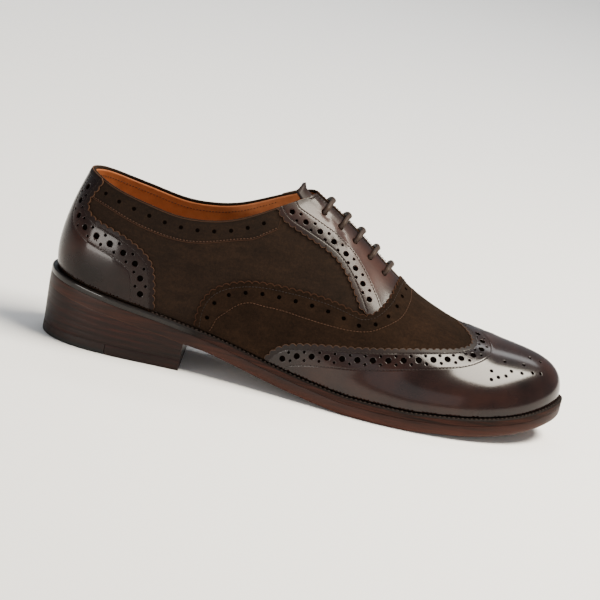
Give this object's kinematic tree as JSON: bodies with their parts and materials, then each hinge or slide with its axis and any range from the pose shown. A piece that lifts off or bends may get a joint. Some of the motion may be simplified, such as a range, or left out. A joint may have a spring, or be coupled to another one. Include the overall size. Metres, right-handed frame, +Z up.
{
  "type": "wingtip oxford shoe",
  "caption": "Full-brogue wingtip oxford for the right foot: hollow suede upper with polished leather overlays, laced closed facings, welted leather sole and stacked heel.",
  "frame": {"origin": "on the floor, under the middle of the shoe's bounding box", "axes": "+X from heel to toe, +Y towards the inner (medial) side, +Z up"},
  "size_m": [0.3066, 0.1029, 0.1167],
  "materials": {
    "suede": "matt napped suede, dark brown",
    "polished_leather": "polished, burnished dark brown",
    "sole_leather": "satin, red-brown edge",
    "welt_leather": "satin, dark brown",
    "heel_leather": "polished stacked edge, mahogany",
    "rubber": "matt black",
    "lining_leather": "smooth tan",
    "lace_cord": "waxed round cord, dark brown"
  },
  "bodies": {
    "root": {"outsole": "sole_leather", "welt": "welt_leather", "heel_stack": "heel_leather", "top_lift": "sole_leather", "rubber_tip": "rubber", "insole": "lining_leather", "upper": "suede", "tongue": "polished_leather", "vamp": "suede", "wing_cap": "polished_leather", "heel_counter": "polished_leather", "facing_lateral": "polished_leather", "facing_medial": "polished_leather", "lace_bar_1": "lace_cord", "lace_bar_2": "lace_cord", "lace_bar_3": "lace_cord", "lace_bar_4": "lace_cord", "lace_bar_5": "lace_cord"}
  },
  "joints": []
}
